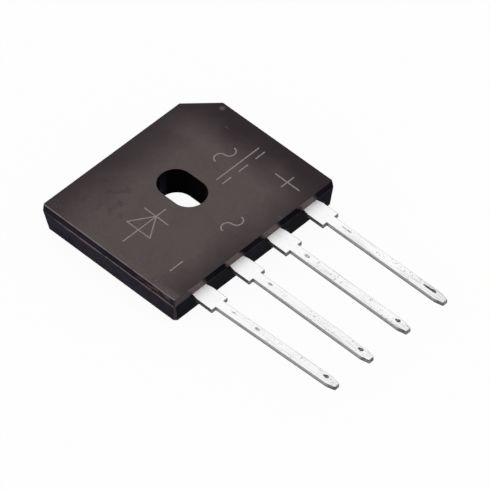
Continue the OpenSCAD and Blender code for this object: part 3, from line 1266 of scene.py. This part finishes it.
@dataclass
class MouldedBody:
    """The moulded body: drafted walls from a parting line, a slot and a bevelled corner."""

    low: Vector
    high: Vector
    parting: float = 2.5
    upper_draft: float = 5.0
    lower_draft: float = 6.0
    corner_chamfer: float = 3.1
    corner_break: float = 0.1
    corner_cut: float = 0.12
    corner_lean: float = 11.3
    slot_radius: float = 1.875
    slot_reach: float = 0.95
    slot_sides: int = 96
    slot_near: float = 0.1
    corner_near: float = 0.5
    corner_angle: float = 60.0
    edge_angle: float = 8.0
    rim_round: float = 0.07
    foot_round: float = 0.04
    slot_round: float = 0.025
    flash: float = 0.05

    FINISHES = (
        Finish.WALL,
        Finish.FACE,
        Finish.END_WALL,
        Finish.BACK,
        Finish.SLOT,
        Finish.RIM,
        Finish.PARTING,
        Finish.CORNER,
    )

    def number(self, finish: Finish) -> int:
        """Return the material slot that a finish has on the body."""
        return self.FINISHES.index(finish)

    def mould(self) -> Piece:
        """Return the plain moulding: an outline drawn up and down with its two drafts.

        Returns:
            The moulding, not yet dressed.
        """
        piece = sheet("moulded_body", self.low.xy, self.high.xy, self.parting)
        edit(piece, Kind.FACES)
        shear((self.high.x - self.corner_chamfer, self.high.y, 0), (1, 1, 0), fill=False)
        pick_all()
        bpy.ops.mesh.duplicate()
        bpy.ops.mesh.flip_normals()
        self.draw_out(piece, -1, self.parting - self.low.z, self.lower_draft)
        self.draw_out(piece, 1, self.high.z - self.parting, self.upper_draft)
        merge()
        bpy.ops.mesh.normals_make_consistent(inside=False)
        clear()
        return piece

    def break_corners(self, piece: Piece) -> None:
        """Break the three upright corners that have no chamfer.

        Args:
            piece: the plain moulding.
        """

        def at_corner(place: Vector) -> bool:
            """Say whether an edge's middle is at an upright corner.

            Args:
                place: the edge's middle.

            Returns:
                Whether it is.
            """
            across = min(abs(place.x - self.low.x), abs(place.x - self.high.x))
            along = min(abs(place.y - self.low.y), abs(place.y - self.high.y))
            return max(across, along) < self.corner_near

        edit(piece, Kind.EDGES)
        pick(piece, Kind.EDGES, at_corner, self.corner_angle)
        bpy.ops.mesh.bevel(
            offset=self.corner_break, segments=1, material=self.number(Finish.CORNER)
        )
        clear()

    def draw_out(self, piece: Piece, side: int, height: float, draft: float) -> None:
        """Draw the outline face that looks up or down into a drafted wall.

        Args:
            piece: the open outline, with one face looking each way.
            side: 1 for the face that looks up, -1 for the one that looks down.
            height: the wall's height, in millimetres.
            draft: the wall's lean, in degrees.
        """
        pick_facing(piece, lambda normal: normal.z * side > 0.5)
        bpy.ops.mesh.inset(
            thickness=height * math.tan(math.radians(draft)), depth=height, use_even_offset=True
        )

    def cut_lower_corners(self, piece: Piece) -> None:
        """Cut the two left corners below the parting line, more towards the bottom.

        Args:
            piece: the body.
        """
        lean = math.tan(math.radians(self.corner_lean)) * math.sqrt(2)
        for side, y in ((-1, self.low.y), (1, self.high.y)):
            edit(piece, Kind.FACES)
            shear((self.low.x + self.corner_cut, y, self.parting), (-1, side, -lean))
            assign(piece, self.number(Finish.CORNER))
            clear()

    def cut_slot(self, piece: Piece) -> None:
        """Cut the screw slot: a round tool drawn out to the slot's length.

        Args:
            piece: the body.
        """
        clear()
        bpy.ops.mesh.primitive_cylinder_add(
            vertices=self.slot_sides,
            radius=self.slot_radius,
            depth=2 * self.high.z,
            location=(0, 0, self.high.z / 2),
            rotation=(0, 0, math.pi / self.slot_sides),
        )
        tool = settle_place("slot_tool")
        edit(tool, Kind.VERTICES)
        for side in (-1, 1):
            pick(tool, Kind.VERTICES, lambda place: place.y * side > 0.01)
            bpy.ops.transform.translate(value=(0, side * self.slot_reach, 0))
        clear()
        dress(tool, [Finish.SLOT])
        combine(piece, tool, "DIFFERENCE")

    def in_slot(self, place: Vector) -> bool:
        """Say whether a place is on or within the slot."""
        reach = self.slot_radius + self.slot_near
        return abs(place.x) < reach and abs(place.y) < reach + self.slot_reach

    def colour_faces(self, piece: Piece) -> None:
        """Give the flat faces their finishes by the way they look.

        Args:
            piece: the body.
        """
        looks = (
            (Finish.FACE, lambda normal: normal.z > 0.999),
            (Finish.BACK, lambda normal: normal.z < -0.999),
            (Finish.END_WALL, lambda normal: normal.y < -0.97),
        )
        edit(piece, Kind.FACES)
        for finish, test in looks:
            pick_facing(piece, test)
            assign(piece, self.number(finish))
        clear()

    def round_off(
        self, piece: Piece, test: Test, width: float, steps: int, finish: Finish
    ) -> None:
        """Round the sharp edges of an open piece that pass a test.

        Args:
            piece: the body, open in edit mode.
            test: is given an edge's middle and says whether it is rounded.
            width: how far the rounding reaches from the edge, in millimetres.
            steps: how many faces the rounding has.
            finish: the rounding's finish.
        """
        pick(piece, Kind.EDGES, test, self.edge_angle)
        bpy.ops.mesh.bevel(offset=width, segments=steps, material=self.number(finish))

    def round_edges(self, piece: Piece) -> None:
        """Round the rims and the parting line, each by its own amount.

        Args:
            piece: the body.
        """

        def outside(level: float) -> Test:
            """Return a test for the edges of the outline at a level."""
            return lambda place: meets(place.z, level) and not self.in_slot(place)

        def inside(level: float) -> Test:
            """Return a test for the slot's edges at a level."""
            return lambda place: meets(place.z, level) and self.in_slot(place)

        edit(piece, Kind.EDGES)
        self.round_off(piece, outside(self.high.z), self.rim_round, 3, Finish.RIM)
        self.round_off(piece, outside(self.low.z), self.foot_round, 2, Finish.WALL)
        self.round_off(piece, outside(self.parting), self.flash, 2, Finish.PARTING)
        self.round_off(piece, inside(self.high.z), self.slot_round, 2, Finish.FACE)
        self.round_off(piece, inside(self.low.z), self.slot_round, 2, Finish.BACK)
        beyond_rim = self.low.x + 3 * self.rim_round
        under_rim = self.high.z - 1.2 * self.rim_round
        pick(
            piece,
            Kind.FACES,
            lambda place: place.z > under_rim and place.x > beyond_rim and not self.in_slot(place),
        )
        assign(piece, self.number(Finish.FACE))
        clear()

    def make_room(self, piece: Piece, sealed: Sequence[Piece]) -> None:
        """Cut room for everything that the compound was moulded round.

        Args:
            piece: the body.
            sealed: a copy of each sealed piece, which the cut uses up.
        """
        for tool in sealed:
            dress(tool, [Finish.SEALED])
            combine(piece, tool, "DIFFERENCE", solver="MANIFOLD")

    def build(self, sealed: Sequence[Piece]) -> Piece:
        """Build the body round the sealed pieces.

        Args:
            sealed: a copy of each sealed piece, in millimetres.

        Returns:
            The finished body, still in millimetres.
        """
        piece = self.mould()
        dress(piece, self.FINISHES)
        self.break_corners(piece)
        self.cut_lower_corners(piece)
        self.cut_slot(piece)
        self.colour_faces(piece)
        self.round_edges(piece)
        self.make_room(piece, sealed)
        Marking(level=self.high.z).engrave(piece)
        weld(piece)
        smooth(piece)
        return piece


# ----------------------------------------------------------------------- leads


@dataclass(frozen=True)
class Dent:
    """A small hollow pressed into a lead's upper face, placed by its distance from the body."""

    out: float
    aside: float
    width: float
    length: float
    depth: float
    finish: Finish = Finish.DENT


@dataclass(frozen=True)
class PadPlan:
    """A lead's pad inside the body, as boxes in plan, in millimetres."""

    boxes: tuple[tuple[float, float, float, float], ...]
    cut_sum: float | None = None


@dataclass
class LeadStrip:
    """The strip that every lead starts as: stamped flat, thickened and formed."""

    body_end: float
    top: float = 2.5
    thickness: float = 0.5
    free_length: float = 18.2
    pin_width: float = 1.08
    shoulder_width: float = 2.18
    shoulder_length: float = 2.8
    root_width: float = 1.9
    root_flare: float = 0.75
    tip_width: float = 0.62
    tip_taper: float = 1.0
    neck_width: float = 1.5
    neck_from: float = 0.4
    level_length: float = 0.9
    step_length: float = 1.0
    tab_length: float = 1.2
    pad_floor: float = 0.85
    edge_round: float = 0.045

    FINISHES = (Finish.TIN, Finish.SHEARED)

    @property
    def shoulder_end(self) -> float:
        """Return where the shoulder ends and the pin starts, along Y."""
        return self.body_end - self.shoulder_length

    @property
    def lock(self) -> float:
        """Return where the strip narrows to its neck inside the body, along Y."""
        return self.body_end + self.neck_from

    def bend_shift(self) -> float:
        """Return how far the upper face's bends stand beyond the middle line's."""
        slope = math.atan2(self.top - self.thickness - self.pad_floor, self.step_length)
        return self.thickness / 2 * math.tan(slope / 2)

    def stamp(self) -> Piece:
        """Return the shoulder's upper face as a flat sheet, narrowed towards the body.

        Returns:
            The sheet, open in edit mode.
        """
        half = self.shoulder_width / 2
        piece = sheet("lead_strip", (-half, self.shoulder_end), (half, self.lock), self.top)
        edit(piece, Kind.EDGES)
        score(piece, Axis.Y, self.body_end - self.root_flare)
        score(piece, Axis.Y, self.body_end)
        pick(piece, Kind.VERTICES, lambda place: place.y > self.body_end - 0.01)
        bpy.ops.transform.resize(
            value=(self.root_width / self.shoulder_width, 1, 1), center_override=(0, 0, 0)
        )
        for width in (self.pin_width, self.neck_width):
            score(piece, Axis.X, -width / 2)
            score(piece, Axis.X, width / 2)
        return piece

    def draw_pin(self, piece: Piece) -> None:
        """Draw the pin out of the open sheet, with its tapered tip.

        Args:
            piece: the strip, open in edit mode.
        """
        pin = self.pin_width / 2
        end = self.shoulder_end
        pick(piece, Kind.EDGES, lambda place: meets(place.y, end) and abs(place.x) < pin)
        extrude_edges((0, self.tip_taper + self.shoulder_length - self.free_length, 0))
        extrude_edges((0, -self.tip_taper, 0))
        bpy.ops.transform.resize(
            value=(self.tip_width / self.pin_width, 1, 1), center_override=(0, 0, 0)
        )

    def form_neck(self, piece: Piece) -> None:
        """Draw the neck on from the open sheet: level, down a step, and level again.

        Args:
            piece: the strip, open in edit mode.
        """
        neck = self.neck_width / 2
        lock = self.lock
        shift = self.bend_shift()
        pick(piece, Kind.EDGES, lambda place: meets(place.y, lock) and abs(place.x) < neck)
        extrude_edges((0, self.level_length + shift - self.neck_from, 0))
        extrude_edges((0, self.step_length, self.pad_floor + self.thickness - self.top))
        extrude_edges((0, self.tab_length - shift, 0))

    def thicken(self, piece: Piece) -> None:
        """Give the sheet its thickness downwards and round the edges that show.

        Args:
            piece: the formed sheet.
        """
        edit(piece, Kind.FACES)
        merge()
        bpy.ops.mesh.normals_make_consistent(inside=False)
        if bmesh.from_edit_mesh(piece.data).faces[:][0].normal.z < 0:
            bpy.ops.mesh.flip_normals()
        clear()
        modify(piece, "SOLIDIFY", thickness=self.thickness, offset=-1, use_even_offset=True)
        dress(piece, self.FINISHES)
        edit(piece, Kind.FACES)
        pick_facing(piece, lambda normal: abs(normal.z) < 0.3)
        assign(piece, 1)
        pick(piece, Kind.EDGES, lambda place: place.y < self.body_end - TOUCH, min_angle=30)
        bpy.ops.mesh.bevel(offset=self.edge_round, segments=2, material=1)
        clear()

    def build(self) -> Piece:
        """Return the finished strip, on the row's middle line, still in millimetres.

        Returns:
            The strip.
        """
        piece = self.stamp()
        self.draw_pin(piece)
        self.form_neck(piece)
        self.thicken(piece)
        return piece


@dataclass
class TinnedLead:
    """One lead: a copy of the strip, sprung aside, with its pad and its own dents."""

    node: str
    x: float
    pad: PadPlan
    lean: float = 0.0
    dents: tuple[Dent, ...] = ()

    def spring(self, piece: Piece, strip: LeadStrip) -> None:
        """Lean the pin aside from the end of its shoulder.

        Args:
            piece: the lead.
            strip: the strip's sizes.
        """
        end = strip.shoulder_end
        edit(piece, Kind.VERTICES)
        pick(piece, Kind.VERTICES, lambda place: place.y < end - 0.01)
        bpy.ops.transform.rotate(
            value=-math.radians(self.lean), orient_axis="Z", center_override=(self.x, end, 0)
        )
        clear()

    def add_pad(self, piece: Piece, strip: LeadStrip) -> None:
        """Weld the pad's boxes onto the neck, and cut the pad's corner where it has one.

        Args:
            piece: the lead.
            strip: the strip's sizes.
        """
        floor, top = strip.pad_floor, strip.pad_floor + strip.thickness
        for x0, y0, x1, y1 in self.pad.boxes:
            box = block("pad", (x0, y0, floor), (x1, y1, top))
            dress(box, [Finish.TIN])
            combine(piece, box, "UNION")
        if self.pad.cut_sum is not None:
            edit(piece, Kind.FACES)
            shear((self.pad.cut_sum, 0, 0), (1, 1, 0))
            clear()

    def press(self, piece: Piece, strip: LeadStrip) -> None:
        """Press the dents into the upper face, each along the lead's own line.

        Args:
            piece: the lead.
            strip: the strip's sizes.
        """
        for dent in self.dents:
            beyond = dent.out - strip.shoulder_length
            lean = math.radians(self.lean) if beyond > 0 else 0.0
            place = (
                self.x + math.cos(lean) * dent.aside + math.sin(lean) * beyond,
                strip.shoulder_end - math.cos(lean) * beyond + math.sin(lean) * dent.aside,
                strip.top,
            )
            clear()
            bpy.ops.mesh.primitive_uv_sphere_add(
                segments=20, ring_count=12, radius=0.5, location=place, rotation=(0, 0, lean)
            )
            bpy.context.object.scale = (dent.width, dent.length, 2 * dent.depth)
            tool = settle_place("dent_tool")
            dress(tool, [dent.finish])
            combine(piece, tool, "DIFFERENCE")

    def build(self, blank: Piece, strip: LeadStrip) -> Piece:
        """Make this lead from the blank strip.

        Args:
            blank: the finished strip on the row's middle line.
            strip: the strip's sizes.

        Returns:
            The finished lead, still in millimetres.
        """
        piece = copy_of(blank, f"tinned_{self.node}")
        bpy.ops.transform.translate(value=(self.x, 0, 0))
        settle_place(piece.name)
        self.spring(piece, strip)
        self.add_pad(piece, strip)
        self.press(piece, strip)
        weld(piece)
        smooth(piece)
        return piece


@dataclass
class LeadRow:
    """The four leads in a row, with their pads and the small dents of handling."""

    strip: LeadStrip
    pitch: float = 5.08
    minus_lean: float = 1.5
    punch: tuple[Dent, ...] = (
        Dent(16.7, 0.16, 0.4, 0.48, 0.1, Finish.PUNCH),
        Dent(16.5, 0.13, 0.26, 0.42, 0.04, Finish.PUNCH),
    )

    def leads(self) -> list[TinnedLead]:
        """Return the four leads from the minus side to the plus side.

        Returns:
            The leads, not yet built.
        """
        pad_y = self.strip.body_end + (self.strip.level_length + self.strip.step_length)
        long_punch = (
            Dent(16.5, 0.18, 0.32, 0.7, 0.09, Finish.PUNCH),
            Dent(15.9, 0.14, 0.24, 1.5, 0.035, Finish.PUNCH),
        )
        return [
            TinnedLead(
                "lead_minus",
                -1.5 * self.pitch,
                PadPlan(((-9.6, pad_y, -6.825, -3.525),)),
                self.minus_lean,
                (*self.punch, Dent(7.7, 0.1, 0.34, 0.62, 0.014), Dent(4.6, 0.1, 0.16, 0.6, 0.006)),
            ),
            TinnedLead(
                "lead_ac_1",
                -0.5 * self.pitch,
                PadPlan(((-6.175, pad_y, -2.775, 2.425),)),
                dents=(*self.punch, Dent(4.5, 0.1, 0.3, 0.62, 0.016)),
            ),
            TinnedLead(
                "lead_ac_2",
                0.5 * self.pitch,
                PadPlan(((2.775, pad_y, 6.175, 2.425),)),
                dents=(*self.punch, Dent(4.5, 0.08, 0.36, 0.7, 0.022)),
            ),
            TinnedLead(
                "lead_plus",
                1.5 * self.pitch,
                PadPlan(((6.825, pad_y, 9.6, 7.125), (-6.175, 3.725, 6.9, 7.125)), 14.34),
                dents=(*long_punch, Dent(4.9, 0.12, 0.2, 1.4, 0.018)),
            ),
        ]

    def build(self) -> list[tuple[Piece, str]]:
        """Return each finished lead with the name of its node.

        Returns:
            The leads, in millimetres, each with its node's name.
        """
        blank = self.strip.build()
        made = [(lead.build(blank, self.strip), lead.node) for lead in self.leads()]
        take(blank)
        bpy.ops.object.delete()
        return made


# --------------------------------------------------------------- inner circuit


@dataclass(frozen=True)
class InnerCircuit:
    """The chips, solder and clips sealed in the body: frame nodes that only get a finish."""

    nodes: dict

    def finish_of(self, name: str) -> Finish | None:
        """Return the finish of a sealed node by its name, or None for the others.

        Args:
            name: the node's name.

        Returns:
            The finish, or None.
        """
        if "solder" in name:
            return Finish.SOLDER
        if name.startswith("clip"):
            return Finish.COPPER
        if name.startswith("die"):
            return Finish.SILICON
        return None

    def castings(self) -> list[Piece]:
        """Return a copy of every sealed node, in millimetres, to cut its room."""
        return [casting(node) for name, node in self.nodes.items() if self.finish_of(name)]

    def build(self) -> None:
        """Dress every sealed node."""
        for name, node in self.nodes.items():
            finish = self.finish_of(name)
            if finish is not None:
                dress(node, [finish])
                LOG.info("%s is finished in %s", name, finish.value.name)


# ---------------------------------------------------------------------- studio


def bearing(azimuth: float, elevation: float) -> Vector:
    """Return the direction at an azimuth from +X and a height over the ground.

    Args:
        azimuth: how far round from +X, in degrees.
        elevation: how far up, in degrees.

    Returns:
        The direction, one unit long.
    """
    turn, rise = math.radians(azimuth), math.radians(elevation)
    level = math.cos(rise)
    return Vector((level * math.cos(turn), level * math.sin(turn), math.sin(rise)))


@dataclass(frozen=True)
class Lamp:
    """A square soft lamp that looks at the object."""

    name: str
    azimuth: float
    elevation: float
    distance: float
    size: float
    level: float

    def place(self, target: Vector) -> None:
        """Hang the lamp and turn it to the target.

        Args:
            target: the point that it looks at, in metres.
        """
        away = bearing(self.azimuth, self.elevation)
        clear()
        bpy.ops.object.light_add(
            type="AREA",
            location=target + away * self.distance,
            rotation=away.to_track_quat("Z", "Y").to_euler(),
        )
        lamp = bpy.context.object
        lamp.name = self.name
        lamp.data.shape = "SQUARE"
        lamp.data.size = self.size
        lamp.data.energy = self.level * math.pi * self.size**2


@dataclass(frozen=True)
class ViewPoint:
    """Where the camera stands, how it is turned and how long its lens is."""

    azimuth: float = -133.504
    elevation: float = 47.765
    roll: float = -2.072
    distance: float = 0.5993
    target: tuple[float, float, float] = (0.001043, -0.007499, 0.0)
    lens: float = 451.6
    sensor: float = 36.0

    def place(self) -> None:
        """Add the camera and make it the scene's own."""
        back = bearing(self.azimuth, self.elevation)
        level_right = Vector((0, 0, 1)).cross(back).normalized()
        level_up = back.cross(level_right)
        cosine, sine = math.cos(math.radians(self.roll)), math.sin(math.radians(self.roll))
        right = level_right * cosine + level_up * sine
        up = level_up * cosine - level_right * sine
        facing = Matrix((right, up, back)).transposed()
        clear()
        bpy.ops.object.camera_add(
            location=Vector(self.target) + back * self.distance, rotation=facing.to_euler()
        )
        camera = bpy.context.object
        camera.name = "camera"
        camera.data.lens = self.lens
        camera.data.sensor_width = self.sensor
        bpy.context.scene.camera = camera


@dataclass(frozen=True)
class Studio:
    """A white table in soft light all round, with one broad lamp and a side strip."""

    table_side: float = 4.0
    table_gap: float = 0.02 * MM
    sky: float = 0.8
    aim: tuple[float, float, float] = (0.0, -0.005, 0.003)
    lamps: tuple[Lamp, ...] = (
        Lamp("broad_lamp", -70.0, 62.0, 0.9, 0.7, 0.5),
        Lamp("side_lamp", 150.0, 28.0, 0.8, 0.35, 1.0),
    )

    def table(self) -> None:
        """Lay the white table under the object."""
        clear()
        bpy.ops.mesh.primitive_plane_add(size=self.table_side, location=(0, 0, -self.table_gap))
        table = settle_place("table")
        table.data.materials.append(Paper().build())

    def surroundings(self) -> None:
        """Light the scene evenly, and show plain white beyond the table."""
        shader = Shader("soft_room", of_world=True)
        strength = shader.node("ShaderNodeMapRange")
        levels = {"Value": shader.directly_seen(), "To Min": self.sky, "To Max": 1.0}
        shader.feed(strength, levels)
        background = shader.node("ShaderNodeBackground")
        light = {"Color": (1, 1, 1, 1), "Strength": strength.outputs["Result"]}
        shader.feed(background, light)
        bpy.context.scene.world = shader.show(background.outputs[0], "ShaderNodeOutputWorld")

    def build(self) -> None:
        """Set up the table, the light and the camera."""
        bpy.context.scene.view_settings.view_transform = "Standard"
        self.table()
        self.surroundings()
        for lamp in self.lamps:
            lamp.place(Vector(self.aim))
        ViewPoint().place()


# ------------------------------------------------------------------------ main


def corners_of(node: str) -> tuple[Vector, Vector]:
    """Return a frame node's lowest and highest corners in millimetres."""
    low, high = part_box(node)
    return low / MM, high / MM


def plain(bounds: Sequence) -> list:
    """Return a box's two corners as plain lists of numbers."""
    return [[float(value) for value in corner] for corner in bounds]


def main() -> None:
    """Build the whole object on its frame, and the studio round it."""
    logging.basicConfig(level=logging.INFO, format="%(name)s: %(message)s")
    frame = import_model()
    low, high = corners_of("body")
    Studio().build()
    circuit = InnerCircuit(frame["nodes"])
    leads = LeadRow(LeadStrip(body_end=low.y)).build()
    sealed = [copy_of(lead, "casting") for lead, _ in leads] + circuit.castings()
    hand_over(MouldedBody(low, high).build(sealed), "body")
    for lead, node in leads:
        hand_over(lead, node)
    circuit.build()
    clear()


if __name__ == "__main__":
    main()
